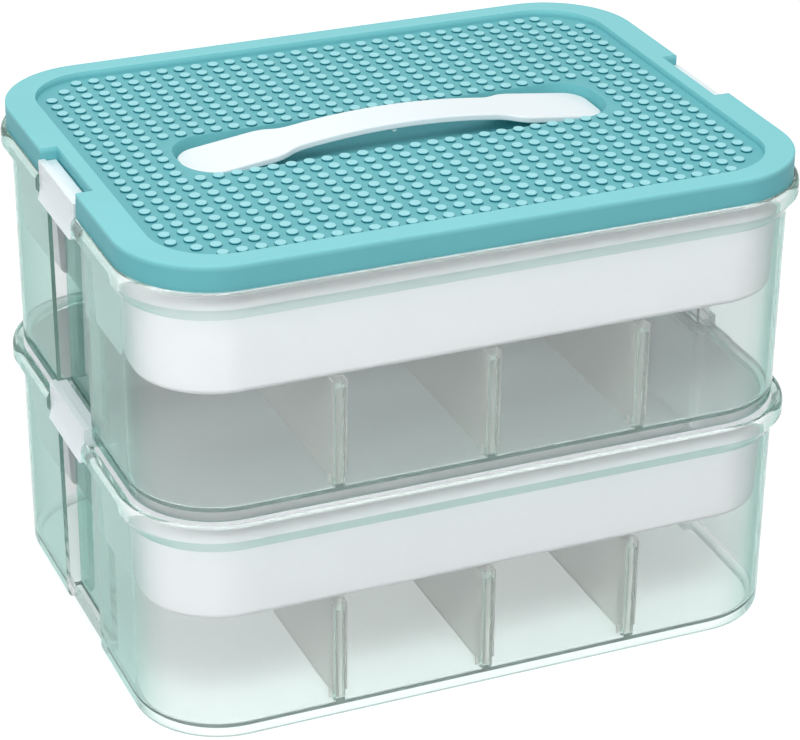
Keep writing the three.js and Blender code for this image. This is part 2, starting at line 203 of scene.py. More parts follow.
def piece_of(bm, name):
    """Turns a bmesh into an object of the scene."""
    mesh = bpy.data.meshes.new(name)
    bm.to_mesh(mesh)
    bm.free()
    piece = bpy.data.objects.new(name, mesh)
    bpy.context.collection.objects.link(piece)
    return piece


def settle(piece):
    """Turns the piece's modifiers into its mesh."""
    graph = bpy.context.evaluated_depsgraph_get()
    mesh = bpy.data.meshes.new_from_object(piece.evaluated_get(graph))
    piece.modifiers.clear()
    piece.data = mesh


def combine(piece, bm, operation):
    """Joins a solid to a piece, or cuts it out."""
    other = piece_of(bm, "tool")
    modifier = piece.modifiers.new("combine", "BOOLEAN")
    modifier.operation = operation
    modifier.object = other
    modifier.solver = "EXACT"
    settle(piece)
    bpy.data.objects.remove(other)


def bm_of(piece):
    """Takes a piece apart again, so that it can be a tool."""
    bm = bmesh.new()
    bm.from_mesh(piece.data)
    bpy.data.objects.remove(piece)
    return bm


def round_edges(piece, radius, segments=3):
    """Rounds every sharp edge, and shades each flat face flat right up to its roundings."""
    bm = bmesh.new()
    bm.from_mesh(piece.data)
    bmesh.ops.remove_doubles(bm, verts=bm.verts[:], dist=SLIVER * MM)
    bmesh.ops.dissolve_limit(
        bm, angle_limit=FLAT_WITHIN, verts=bm.verts[:], edges=bm.edges[:],
    )
    for face in bm.faces:
        face.smooth = True
    bm.to_mesh(piece.data)
    bm.free()
    bevel = piece.modifiers.new("rounded edges", "BEVEL")
    bevel.width = radius * MM
    bevel.segments = segments
    bevel.limit_method = "ANGLE"
    bevel.angle_limit = SHARP_FROM
    normals = piece.modifiers.new("flat faces", "WEIGHTED_NORMAL")
    normals.mode = "FACE_AREA_WITH_ANGLE"
    settle(piece)


def linear(hex_colour):
    """An sRGB hex colour as the linear colour that shaders take."""
    values = [int(hex_colour[start:start + 2], 16) / 255 for start in (1, 3, 5)]
    return (*[v / 12.92 if v <= 0.04045 else ((v + 0.055) / 1.055) ** 2.4 for v in values], 1)


def add_node(tree, kind, settings=None, **inputs):
    """Adds a node, sets its own settings, and sets or links its inputs by name, or by their
    place, as in i6 and i7 for the two colours of a mix, whose third output is its colour."""
    node = tree.nodes.new(kind)
    for name, value in (settings or {}).items():
        setattr(node, name, value)
    for name, value in inputs.items():
        key = int(name[1:]) if name[0] == "i" and name[1:].isdigit() else name.replace("_", " ")
        if isinstance(value, bpy.types.NodeSocket):
            tree.links.new(value, node.inputs[key])
        else:
            node.inputs[key].default_value = value
    return node


def new_material(name):
    """An empty material and its node tree."""
    material = bpy.data.materials.new(name)
    material.use_nodes = True
    material.node_tree.nodes.clear()
    return material, material.node_tree


def lit_through(tree, surface, tint):
    """Lets light pass a clear surface with a faint tint, where it would cast a full shadow."""
    lets_light_in = add_node(tree, "ShaderNodeBsdfTransparent", Color=linear(tint))
    path = add_node(tree, "ShaderNodeLightPath")
    return add_node(
        tree, "ShaderNodeMixShader", i0=path.outputs["Is Shadow Ray"],
        i1=surface.outputs["BSDF"], i2=lets_light_in.outputs["BSDF"],
    )


def clear_polystyrene():
    """Moulded clear polystyrene: almost colourless where a wall faces the eye, mint green
    where it is seen aslant and pale again at its very edge, with the slow ripple, 45 mm
    wide, and the fine handling haze of a large moulding. Its index is below the real 1.59,
    which would trap the light in the thick corners and draw them as dark lines."""
    material, tree = new_material("moulded clear polystyrene")
    place = add_node(tree, "ShaderNodeTexCoord").outputs["Object"]
    ripple = add_node(tree, "ShaderNodeTexNoise", Vector=place, Scale=1 / (45 * MM), Detail=1.0)
    haze = add_node(tree, "ShaderNodeTexNoise", Vector=place, Scale=1 / (6 * MM), Detail=4.0)
    roughness = add_node(
        tree, "ShaderNodeMapRange", Value=haze.outputs["Fac"], From_Min=0.35, From_Max=0.75,
        To_Min=0.015, To_Max=0.06,
    )
    bump = add_node(
        tree, "ShaderNodeBump", Height=ripple.outputs["Fac"], Strength=0.25, Distance=0.4 * MM,
    )
    aslant = add_node(tree, "ShaderNodeLayerWeight", Blend=0.5)
    depth = add_node(
        tree, "ShaderNodeMapRange", Value=aslant.outputs["Facing"], From_Min=0.3, From_Max=0.9,
    )
    edge = add_node(
        tree, "ShaderNodeMapRange", Value=aslant.outputs["Facing"], From_Min=0.8, From_Max=0.97,
    )
    mint = add_node(
        tree, "ShaderNodeMix", {"data_type": "RGBA"}, Factor=depth.outputs["Result"],
        i6=linear("#FEFEFE"), i7=linear("#4FB5A1"),
    )
    colour = add_node(
        tree, "ShaderNodeMix", {"data_type": "RGBA"}, Factor=edge.outputs["Result"],
        i6=mint.outputs[2], i7=linear("#F4FCF8"),
    )
    surface = add_node(
        tree, "ShaderNodeBsdfPrincipled", Base_Color=colour.outputs[2], IOR=1.2,
        Transmission_Weight=0.88, Roughness=roughness.outputs["Result"],
        Normal=bump.outputs["Normal"],
    )
    mixed = lit_through(tree, surface, "#FAFCFC")
    tint = add_node(tree, "ShaderNodeVolumeAbsorption", Color=linear("#7FD9C4"), Density=7.0)
    add_node(
        tree, "ShaderNodeOutputMaterial", Surface=mixed.outputs["Shader"],
        Volume=tint.outputs["Volume"],
    )
    return material


def dress(piece, material, node):
    """Gives a finished piece its material and the node that it stands for. Each node is a
    body of its own, with the same name, and the piece rides on that."""
    piece.data.materials.clear()
    piece.data.materials.append(material)
    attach(piece, node)
    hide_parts(node)


def placed_copy(piece, name, place):
    """A copy of a finished piece, with its place in its mesh."""
    mesh = piece.data.copy()
    mesh.transform(place)
    copy = bpy.data.objects.new(name, mesh)
    bpy.context.collection.objects.link(copy)
    return copy


foot_inset = WALL_FOOT_INSET + BOTTOM_EDGE_INSET
inner_foot_inset = WALL_FOOT_INSET + BOX_WALL
box_outside = (
    [(foot_inset, 0)]
    + quarter_turn((foot_inset, 0), (WALL_FOOT_INSET, BOTTOM_EDGE_HEIGHT), "inset")
    + [(WALL_TOP_INSET, COLLAR_FOOT), (COLLAR_INSET, BAND_BOTTOM), (COLLAR_INSET, BAND_TOP)]
    + quarter_turn((COLLAR_INSET, BAND_TOP), (LIP_INSET, LIP_TOP), "height")
)
floor_start = (inner_foot_inset + FLOOR_EDGE, FLOOR_TOP)
box_inside = (
    [floor_start]
    + quarter_turn(floor_start, (inner_foot_inset, FLOOR_TOP + FLOOR_EDGE), "inset")
    + [(WALL_TOP_INSET + BOX_WALL, LEDGE), (NECK_INSET, LEDGE), (NECK_INSET, SHOULDER)]
    + [(LIP_INSET, SHOULDER), (LIP_INSET, LIP_TOP + OVERRUN)]
)
box_underside = [
    (foot_inset + FOOT_WIDTH, -OVERRUN), (foot_inset + FOOT_WIDTH, FLOOR_TOP - FLOOR_THICKNESS),
]
channel_back = CHANNEL_DEPTH + BOX_WALL
channel_half = CHANNEL_WIDTH / 2 + BOX_WALL

outline = (LID_LENGTH, LID_WIDTH, CORNER_RADIUS)
hollow = piece_of(rounded_loft(*outline, box_inside), "hollow")
combine(hollow, end_blocks(channel_back, channel_half, 0, SHOULDER), "DIFFERENCE")
underside = piece_of(rounded_loft(*outline, box_underside), "underside")
combine(underside, end_blocks(channel_back, channel_half, -OVERRUN, SHOULDER), "DIFFERENCE")
box = piece_of(rounded_loft(*outline, box_outside), "clear_box")
combine(box, bm_of(hollow), "DIFFERENCE")
combine(box, bm_of(underside), "DIFFERENCE")
channels = end_blocks(CHANNEL_DEPTH, CHANNEL_WIDTH / 2, -OVERRUN, LIP_TOP + OVERRUN)
combine(box, channels, "DIFFERENCE")
wedge_root = LID_LENGTH / 2 - CHANNEL_DEPTH - BOX_WALL / 2
combine(box, latch_catches(wedge_root, CHANNEL_WIDTH / 2 + BOX_WALL / 2), "UNION")
sockets = rod_across(
    TRUNNION_RADIUS + GAP, (PIVOT_X, PIVOT_HEIGHT), CHANNEL_WIDTH / 2 + TRUNNION_LENGTH,
)
combine(box, and_mirrored(sockets), "DIFFERENCE")
wall_inside = LID_WIDTH / 2 - inner_foot_inset
for column in DIVIDER_PLACES:
    x = column * DIVIDER_PITCH
    rib = block(
        (x - RIB_WIDTH / 2, wall_inside - RIB_DEPTH, FLOOR_TOP - FLOOR_THICKNESS / 2),
        (x + RIB_WIDTH / 2, wall_inside + BOX_WALL / 2, RIB_TOP),
    )
    combine(box, and_mirrored(rib, "Y"), "UNION")
round_edges(box, BOX_EDGE_ROUNDING)

polystyrene = clear_polystyrene()
for level, height in TIERS:
    place = Matrix.Translation((0, 0, height * MM))
    clear_box = placed_copy(box, f"{level}_clear_box", place)
    dress(clear_box, polystyrene, f"{level}_box")
bpy.data.objects.remove(box)

# Lift-out trays. White polypropylene, moulded with a fine satin grain: a deep pan with a
# rounded bottom edge that hangs by its flange, notched in each short side to pass the
# latch channel.
TRAY_BOTTOM = SHOULDER - 48.2
TRAY_FLOOR, TRAY_WALL = 2, 1.8
TRAY_TOP_INSET, TRAY_FOOT_INSET, TRAY_BOTTOM_EDGE = 5.4, 7.2, 3.5
TRAY_CHANNEL_GAP = 0.5
GROOVE_PLACE, GROOVE_RADIUS, GROOVE_DEPTH = 51, 7, 1.1
TRAY_EDGE_ROUNDING = 0.45


def white_polypropylene():
    """Moulded white polypropylene: milky, with a fine satin grain of about half a
    millimetre, drawn coarser than the real 0.1 mm so that it shows."""
    material, tree = new_material("moulded white polypropylene")
    place = add_node(tree, "ShaderNodeTexCoord").outputs["Object"]
    grain = add_node(tree, "ShaderNodeTexNoise", Vector=place, Scale=1 / (0.5 * MM), Detail=2.0)
    flow = add_node(tree, "ShaderNodeTexNoise", Vector=place, Scale=1 / (60 * MM), Detail=2.0)
    milk = add_node(
        tree, "ShaderNodeMix", {"data_type": "RGBA"}, Factor=flow.outputs["Fac"],
        i6=linear("#F1EFF2"), i7=linear("#F6F4F7"),
    )
    bump = add_node(
        tree, "ShaderNodeBump", Height=grain.outputs["Fac"], Strength=0.12, Distance=0.1 * MM,
    )
    surface = add_node(
        tree, "ShaderNodeBsdfPrincipled", Base_Color=milk.outputs[2], IOR=1.49,
        Roughness=0.42, Normal=bump.outputs["Normal"],
    )
    add_node(tree, "ShaderNodeOutputMaterial", Surface=surface.outputs["BSDF"])
    return material


def pan(foot, top, bottom):
    """The profile of a pan's side, round at its bottom edge, up to where its wall ends."""
    start = (foot + TRAY_BOTTOM_EDGE, bottom)
    return [start] + quarter_turn(start, (foot, bottom + TRAY_BOTTOM_EDGE), "inset") + [top]


flange_inset = NECK_INSET + GAP
tray_outside = pan(TRAY_FOOT_INSET, (TRAY_TOP_INSET, SHOULDER - TRAY_FLANGE), TRAY_BOTTOM) + [
    (flange_inset, SHOULDER - TRAY_FLANGE), (flange_inset, SHOULDER),
]
tray_inner_top = TRAY_TOP_INSET + TRAY_WALL
tray_inside = pan(
    TRAY_FOOT_INSET + TRAY_WALL, (tray_inner_top, SHOULDER), TRAY_BOTTOM + TRAY_FLOOR,
) + [(tray_inner_top, SHOULDER + OVERRUN)]
tray_back, tray_half = channel_back + TRAY_CHANNEL_GAP, channel_half + TRAY_CHANNEL_GAP

hollow = piece_of(rounded_loft(*outline, tray_inside), "hollow")
combine(
    hollow,
    end_blocks(tray_back + TRAY_WALL, tray_half + TRAY_WALL, 0, SHOULDER + 2 * OVERRUN),
    "DIFFERENCE",
)
tray = piece_of(rounded_loft(*outline, tray_outside), "tray")
combine(tray, end_blocks(tray_back, tray_half, 0, SHOULDER + OVERRUN), "DIFFERENCE")
combine(tray, bm_of(hollow), "DIFFERENCE")
groove = rod_across(
    GROOVE_RADIUS, (GROOVE_PLACE, TRAY_BOTTOM + GROOVE_DEPTH - GROOVE_RADIUS), LID_WIDTH / 2,
)
combine(tray, and_mirrored(groove), "DIFFERENCE")
round_edges(tray, TRAY_EDGE_ROUNDING)

polypropylene = white_polypropylene()
for level, height in TIERS:
    place = Matrix.Translation((0, 0, height * MM))
    lift_out_tray = placed_copy(tray, f"{level}_lift_out_tray", place)
    dress(lift_out_tray, polypropylene, f"{level}_tray")
bpy.data.objects.remove(tray)

# Dividers. Thin plates of frosted polystyrene, whose forked ends slide over the ribs on
# the long walls. The fork's legs stop short of the floor, to clear the corner of the box.
PLATE_THICKNESS = 2
FORK_WALL, FORK_DEPTH, FORK_FOOT_RISE = 1, 5, 5.5
FORK_WIDTH = RIB_WIDTH + 2 * (GAP + FORK_WALL)
DIVIDER_PLAY = 0.6
DIVIDER_END = wall_inside - DIVIDER_PLAY
DIVIDER_BOTTOM, DIVIDER_TOP = FLOOR_TOP + GAP, TRAY_BOTTOM - DIVIDER_PLAY
DIVIDER_EDGE_ROUNDING = 0.25


def frosted_polystyrene():
    """Frosted polystyrene: the clear plastic from a blasted mould, so that light passes
    but shapes behind it blur, and thin edges catch a pale line of light. The blasted grain
    is drawn at 0.6 mm, coarser than the real one, so that it shows."""
    material, tree = new_material("frosted polystyrene")
    place = add_node(tree, "ShaderNodeTexCoord").outputs["Object"]
    blast = add_node(tree, "ShaderNodeTexNoise", Vector=place, Scale=1 / (0.6 * MM), Detail=2.0)
    bump = add_node(
        tree, "ShaderNodeBump", Height=blast.outputs["Fac"], Strength=0.2, Distance=0.1 * MM,
    )
    surface = add_node(
        tree, "ShaderNodeBsdfPrincipled", Base_Color=linear("#FDFCF6"), IOR=1.3,
        Transmission_Weight=0.8, Roughness=0.3, Subsurface_Weight=1.0,
        Subsurface_Radius=(1, 1, 1), Subsurface_Scale=3 * MM, Normal=bump.outputs["Normal"],
    )
    mixed = lit_through(tree, surface, "#E6EAE4")
    add_node(tree, "ShaderNodeOutputMaterial", Surface=mixed.outputs["Shader"])
    return material


plate_end = DIVIDER_END - FORK_DEPTH
divider = piece_of(block(
    (-PLATE_THICKNESS / 2, -plate_end - FORK_WALL / 2, DIVIDER_BOTTOM),
    (PLATE_THICKNESS / 2, plate_end + FORK_WALL / 2, DIVIDER_TOP),
), "divider")
web = block(
    (-FORK_WIDTH / 2, plate_end, DIVIDER_BOTTOM),
    (FORK_WIDTH / 2, plate_end + FORK_WALL, DIVIDER_TOP),
)
combine(divider, and_mirrored(web, "Y"), "UNION")
for side in (-1, 1):
    middle = side * (FORK_WIDTH - FORK_WALL) / 2
    leg = block(
        (middle - FORK_WALL / 2, plate_end, FLOOR_TOP + FORK_FOOT_RISE),
        (middle + FORK_WALL / 2, DIVIDER_END, DIVIDER_TOP),
    )
    combine(divider, and_mirrored(leg, "Y"), "UNION")
round_edges(divider, DIVIDER_EDGE_ROUNDING)

frosted = frosted_polystyrene()
for level, height in TIERS:
    for column, side in zip(DIVIDER_PLACES, ("left", "middle", "right")):
        place = Matrix.Translation(Vector((column * DIVIDER_PITCH, 0, height)) * MM)
        plate = placed_copy(divider, f"{level}_{side}_plate", place)
        dress(plate, frosted, f"{level}_{side}_divider")
bpy.data.objects.remove(divider)

# Side latches. Glossy white ABS, each one moulding with its own trunnions: a plate whose
# head hooks over the catch above, a framed outer face, and a lip flared out for a finger.
LATCH_HALF = CHANNEL_WIDTH / 2 - 0.4
LATCH_FACE, LATCH_BACK, LATCH_BARREL = 2.5, 0.3, 2.4  # outwards from the trunnions' axis
ARM_TOP, ARM_THICKNESS, ARM_TIP = 14, 1.2, -5.2
HOOK_HEEL, PLATE_TOP = (-3.7, 8.2), 6.2
RIDGE_TOP, RIDGE_BACK = ARM_TOP + 0.9, -0.5
FLARE_TOP, FLARE_REACH, FLARE_FOOT, FLARE_STEPS = 5, 1.7, -1.8, 6
FRAME_WIDTH, DISH_SLOPE, DISH_DEPTH = 1.4, 1.2, 0.45
BEAD_INSET, BEAD_WIDTH, BEAD_HEIGHT = 0.6, 0.4, 0.2
FOOT_NARROWING = 2.3
FACES_OUT = 0.99  # least outward part of the face's normal
LATCH_EDGE_ROUNDING = 0.35


def white_abs():
    """Moulded white ABS: glossy, a little softened by handling, with faint sink marks."""
    material, tree = new_material("moulded white ABS")
    place = add_node(tree, "ShaderNodeTexCoord").outputs["Object"]
    sink = add_node(tree, "ShaderNodeTexNoise", Vector=place, Scale=1 / (25 * MM), Detail=1.0)
    rub = add_node(tree, "ShaderNodeTexNoise", Vector=place, Scale=1 / (12 * MM), Detail=2.0)
    roughness = add_node(
        tree, "ShaderNodeMapRange", Value=rub.outputs["Fac"], From_Min=0.1, From_Max=0.9,
        To_Min=0.27, To_Max=0.31,
    )
    bump = add_node(
        tree, "ShaderNodeBump", Height=sink.outputs["Fac"], Strength=0.06, Distance=0.2 * MM,
    )
    surface = add_node(
        tree, "ShaderNodeBsdfPrincipled", Base_Color=linear("#F0FAFD"), IOR=1.52,
        Roughness=roughness.outputs["Result"], Normal=bump.outputs["Normal"],
    )
    add_node(tree, "ShaderNodeOutputMaterial", Surface=surface.outputs["BSDF"])
    return material


flare = [
    (LATCH_FACE + FLARE_REACH * share ** 2, FLARE_TOP - (FLARE_TOP - FLARE_FOOT) * share)
    for share in (step / FLARE_STEPS for step in range(FLARE_STEPS, -1, -1))
]
hook = section_across([
    (LATCH_FACE, RIDGE_TOP), (RIDGE_BACK, RIDGE_TOP), (RIDGE_BACK, ARM_TOP), (ARM_TIP, ARM_TOP),
    (ARM_TIP, ARM_TOP - ARM_THICKNESS), HOOK_HEEL, (LATCH_BACK, PLATE_TOP),
    (LATCH_BACK, FLARE_FOOT),
] + flare, LATCH_HALF)
hook.normal_update()
outer_faces = [face for face in hook.faces if face.normal.x > FACES_OUT]
front = max(outer_faces, key=lambda face: face.calc_area())
for thickness, depth in (
    (FRAME_WIDTH, 0), (DISH_SLOPE, -DISH_DEPTH), (BEAD_INSET, 0), (BEAD_WIDTH, BEAD_HEIGHT),
):
    bmesh.ops.inset_region(
        hook, faces=[front], thickness=thickness * MM, depth=depth * MM, use_even_offset=True,
        use_boundary=True,
    )
for vert in hook.verts:
    below = max(0, FLARE_TOP * MM - vert.co.z) / ((FLARE_TOP - FLARE_FOOT) * MM)
    vert.co.y *= 1 - below * FOOT_NARROWING / LATCH_HALF
latch = piece_of(hook, "latch")
combine(latch, rod_across(LATCH_BARREL, (0, 0), LATCH_HALF), "UNION")
trunnions = rod_across(TRUNNION_RADIUS, (0, 0), LATCH_HALF + TRUNNION_LENGTH - GAP)
combine(latch, trunnions, "UNION")
round_edges(latch, LATCH_EDGE_ROUNDING)

abs_plastic = white_abs()
for level, height in TIERS:
    for side, sign, turn in (("left", -1, math.pi), ("right", 1, 0)):
        pivot = Vector((sign * PIVOT_X, 0, height + PIVOT_HEIGHT)) * MM
        place = Matrix.Translation(pivot) @ Matrix.Rotation(turn, 4, "Z")
        side_latch = placed_copy(latch, f"{level}_{side}_side_latch", place)
        dress(side_latch, abs_plastic, f"{level}_{side}_latch")
bpy.data.objects.remove(latch)

# Lid. Teal polypropylene in one moulding: a skirt and a broad flat rim round a sunken panel,
# a notch over each latch with its catch, a ring below that centres it in the tray, and a
# boat-shaped recess for the handle. The panel carries round studs, 8 mm apart.
LID_BOTTOM = 2 * (SHOULDER + GAP)  # the lid's and the handle's own heights start here
LID_HEIGHT, LID_WALL, LID_EDGE = 11.8, 2.2, 0.8
SIDE_RIM, END_RIM = 10.3, 13.7
PANEL_RADIUS, PANEL_TOP, PANEL_SLOPE = 29, 9, 0.5
PLUG_INSET, PLUG_THICKNESS, PLUG_REACH, PLUG_GAP = 7.8, 1.8, 3, 5
PLUG_BACK, PLUG_HALF = 24.9, CHANNEL_WIDTH / 2 + LID_WALL + PLUG_GAP
NOTCH_DEPTH = 7.5
HANDLE_LENGTH, HANDLE_END_GAP = 191, 2.6
RECESS_LENGTH, RECESS_WIDTH, RECESS_RADIUS = HANDLE_LENGTH + 2 * HANDLE_END_GAP, 43, 18
RECESS_FLOOR, RECESS_SLOPE = 1.9, 2.2
RECESS_FILLET = ((1.2, 0), (0.3, 0.35), (-0.4, 1.2))
RECESS_LIP_WIDTH, RECESS_LIP_DROP = 0.4, 0.5
LEG_FROM_TIP, LEG_THICKNESS, LEG_WIDTH, LEG_SLOT_GAP = 16, 3, 14, 0.4
LEG_PLACE = HANDLE_LENGTH / 2 - LEG_FROM_TIP
# Heights above the panel between which the lid's teal goes from painted shade to painted light.
PAINTED_SHADING_FOOT, PAINTED_SHADING_TOP = 0.2, 2  # above the panel, from deep to pale teal
STUD_PITCH, STUD_COLUMNS, STUD_ROWS = 8, 33, 25
STUD_RADIUS, STUD_HEIGHT, STUD_SINK, STUD_EDGE = 2.5, 1.1, 0.3, 0.5
STUD_RECESS_MARGIN = 2.45
STUD_SEGMENTS, STUD_EDGE_SEGMENTS = 14, 2
# Heights above the panel between which the studs go from painted shade to a painted highlight.
STUD_PAINTED_SHADING_FOOT, STUD_PAINTED_SHADING_TOP = 0.5, 0.9
CORNER_SKIP = 2
LID_EDGE_ROUNDING = 0.45


def teal_polypropylene(name, deep, pale, low, high):
    """Moulded teal polypropylene: satin, its teal a little uneven along the flow, with
    a fine grain of 0.4 mm, drawn coarser than the real one so that it shows. Between two
    heights it goes from a darker teal below, which is painted shade, to a paler teal above,
    which is painted light."""
    material, tree = new_material(name)
    place = add_node(tree, "ShaderNodeTexCoord").outputs["Object"]
    grain = add_node(tree, "ShaderNodeTexNoise", Vector=place, Scale=1 / (0.4 * MM), Detail=2.0)
    flow = add_node(tree, "ShaderNodeTexNoise", Vector=place, Scale=1 / (50 * MM), Detail=3.0)
    height = add_node(tree, "ShaderNodeSeparateXYZ", Vector=place).outputs["Z"]
    # How far a point has gone from the painted shade towards the painted light, by its height.
    raised = add_node(
        tree, "ShaderNodeMapRange", Value=height, From_Min=low * MM, From_Max=high * MM,
    )
    teal_and_painted_shading = add_node(
        tree, "ShaderNodeMix", {"data_type": "RGBA"}, Factor=raised.outputs["Result"],
        i6=linear(deep), i7=linear(pale),
    )
    uneven = add_node(
        tree, "ShaderNodeMapRange", Value=flow.outputs["Fac"], To_Min=0.96, To_Max=1.04,
    )
    teal_and_painted_shading = add_node(
        tree, "ShaderNodeHueSaturation", Value=uneven.outputs["Result"], Color=teal_and_painted_shading.outputs[2],
    )
    bump = add_node(
        tree, "ShaderNodeBump", Height=grain.outputs["Fac"], Strength=0.15, Distance=0.1 * MM,
    )
    surface = add_node(
        tree, "ShaderNodeBsdfPrincipled", Base_Color=teal_and_painted_shading.outputs["Color"], IOR=1.49,
        Roughness=0.45, Specular_IOR_Level=0.08, Normal=bump.outputs["Normal"],
    )
    add_node(tree, "ShaderNodeOutputMaterial", Surface=surface.outputs["BSDF"])
    return material


lid_outside = [(0, 0), (0, LID_HEIGHT - LID_EDGE)] + quarter_turn(
    (0, LID_HEIGHT - LID_EDGE), (LID_EDGE, LID_HEIGHT), "height", steps=4)
lid_underside = [(LID_WALL, -OVERRUN), (LID_WALL, LID_HEIGHT - LID_WALL)]
panel = (LID_LENGTH - 2 * END_RIM, LID_WIDTH - 2 * SIDE_RIM, PANEL_RADIUS)
panel_cut = [(PANEL_SLOPE, PANEL_TOP), (0, LID_HEIGHT), (0, LID_HEIGHT + OVERRUN)]
panel_under = [(-LID_WALL, PANEL_TOP - LID_WALL), (-LID_WALL, LID_HEIGHT)]
notch_back, notch_half = NOTCH_DEPTH + LID_WALL, CHANNEL_WIDTH / 2 + LID_WALL

underside = piece_of(rounded_loft(*outline, lid_underside), "underside")
combine(underside, rounded_loft(*panel, panel_under), "DIFFERENCE")
combine(underside, end_blocks(notch_back, notch_half, -2 * OVERRUN, LID_HEIGHT), "DIFFERENCE")
lid = piece_of(rounded_loft(*outline, lid_outside), "lid")
combine(lid, bm_of(underside), "DIFFERENCE")
combine(lid, rounded_loft(*panel, panel_cut), "DIFFERENCE")
notches = end_blocks(NOTCH_DEPTH, CHANNEL_WIDTH / 2, -OVERRUN, LID_HEIGHT + OVERRUN)
combine(lid, notches, "DIFFERENCE")
catches = latch_catches(CATCH_BACK - LID_WALL / 2, CHANNEL_WIDTH / 2 + LID_WALL / 2)
combine(lid, catches, "UNION")
plug = piece_of(rounded_loft(*outline, [
    (PLUG_INSET, -PLUG_REACH), (PLUG_INSET, LID_HEIGHT - LID_WALL / 2),
]), "plug")
combine(plug, rounded_loft(*outline, [
    (PLUG_INSET + PLUG_THICKNESS, -PLUG_REACH - OVERRUN),
    (PLUG_INSET + PLUG_THICKNESS, LID_HEIGHT),
]), "DIFFERENCE")
combine(plug, end_blocks(PLUG_BACK, PLUG_HALF, -PLUG_REACH - OVERRUN, LID_HEIGHT), "DIFFERENCE")
combine(lid, bm_of(plug), "UNION")
recess = (RECESS_LENGTH, RECESS_WIDTH, RECESS_RADIUS)
combine(lid, rounded_loft(*recess, [
    (RECESS_SLOPE - LID_WALL / 2, RECESS_FLOOR - LID_WALL), (-LID_WALL, PANEL_TOP - LID_WALL / 2),
]), "UNION")
recess_foot = [(RECESS_SLOPE + inset, RECESS_FLOOR + rise) for inset, rise in RECESS_FILLET]
combine(lid, rounded_loft(*recess, recess_foot + [
    (RECESS_LIP_WIDTH, PANEL_TOP - RECESS_LIP_DROP), (0, PANEL_TOP), (0, LID_HEIGHT + OVERRUN),
]), "DIFFERENCE")
slot_x, slot_y = LEG_THICKNESS / 2 + LEG_SLOT_GAP, LEG_WIDTH / 2 + LEG_SLOT_GAP
for side in (-1, 1):
    x = side * LEG_PLACE
    slot = block((x - slot_x, -slot_y, -PLUG_REACH), (x + slot_x, slot_y, PANEL_TOP))
    combine(lid, slot, "DIFFERENCE")
round_edges(lid, LID_EDGE_ROUNDING)

panel_level = LID_BOTTOM + PANEL_TOP
lid_place = Matrix.Translation((0, 0, LID_BOTTOM * MM))
moulded_lid = placed_copy(lid, "moulded_lid", lid_place)
# The lid's teal is painted darker, as shade, on the panel, in the recess and on most of the skirt,
# and paler, as light, on the rim.
dress(moulded_lid, teal_polypropylene(
    "moulded teal polypropylene", "#70BDC4", "#8AD6DB",
    panel_level + PAINTED_SHADING_FOOT, panel_level + PAINTED_SHADING_TOP,
), "lid")
bpy.data.objects.remove(lid)


def stud_places():
    """Stud centres on the panel: a full grid, less its corners and the handle's recess."""
    for column in range(STUD_COLUMNS):
        for row in range(STUD_ROWS):
            from_corner = min(column, STUD_COLUMNS - 1 - column) + min(row, STUD_ROWS - 1 - row)
            if from_corner < CORNER_SKIP:
                continue
            x = (column - (STUD_COLUMNS - 1) / 2) * STUD_PITCH
            y = (row - (STUD_ROWS - 1) / 2) * STUD_PITCH
            past_x = max(0, abs(x) - RECESS_LENGTH / 2 + RECESS_RADIUS)
            past_y = max(0, abs(y) - RECESS_WIDTH / 2 + RECESS_RADIUS)
            if math.hypot(past_x, past_y) < RECESS_RADIUS + STUD_RECESS_MARGIN:
                continue
            yield x, y


stud = bmesh.new()
bmesh.ops.create_cone(
    stud, cap_ends=True, segments=STUD_SEGMENTS, radius1=STUD_RADIUS * MM,
    radius2=STUD_RADIUS * MM, depth=(STUD_HEIGHT + STUD_SINK) * MM,
)
top_edges = [edge for edge in stud.edges if all(vert.co.z > 0 for vert in edge.verts)]
bmesh.ops.bevel(
    stud, geom=top_edges, offset=STUD_EDGE * MM, segments=STUD_EDGE_SEGMENTS, profile=0.5,
    affect="EDGES", material=-1,
)
stud_middle = panel_level + (STUD_HEIGHT - STUD_SINK) / 2
bmesh.ops.translate(stud, verts=stud.verts[:], vec=(0, 0, stud_middle * MM))
for face in stud.faces:
    face.smooth = True
one_stud = bpy.data.meshes.new("stud")
stud.to_mesh(one_stud)
stud.free()
field = bmesh.new()
for x, y in stud_places():
    one_stud.transform(Matrix.Translation((x * MM, y * MM, 0)))
    field.from_mesh(one_stud)
    one_stud.transform(Matrix.Translation((-x * MM, -y * MM, 0)))
stud_field = piece_of(field, "stud_field")
stud_field.modifiers.new("flat faces", "WEIGHTED_NORMAL")
settle(stud_field)
# The studs' teal is painted dark, as shade, on their feet and sides, and pale, as a highlight, on
# their tops.
dress(stud_field, teal_polypropylene(
    "teal polypropylene of the studs", "#1B8290", "#A6E4EA",
    panel_level + STUD_PAINTED_SHADING_FOOT, panel_level + STUD_PAINTED_SHADING_TOP,
), "lid")

# Carry handle. A strap of glossy white ABS that arches over the recess: a narrow grip between
# two broad paddles, each with a barbed leg that slides in a slot of the lid.
GRIP_HALF_LENGTH, GRIP_WIDTH, GRIP_ARCH = 48, 21, 3.6
PADDLE_WIDTH, PADDLE_STEP, PADDLE_DROP = 30, 8, 6.2
HANDLE_THICKNESS, CROWN = 3, 15
END_ROUNDING, END_SEGMENTS = 9, 12
STEP_ROUNDING, STEP_SEGMENTS = 3.6, 4
STATIONS, STATION_WELD = 24, 0.001
BARB_TOP, BARB_HEIGHT, BARB_REACH = -6.6, 2.5, 1.5
NUB_X, NUB_RADIUS, NUB_DROP = -3.5, 1.1, 1.4
HANDLE_EDGE_ROUNDING, HANDLE_EDGE_SEGMENTS = 0.8, 4


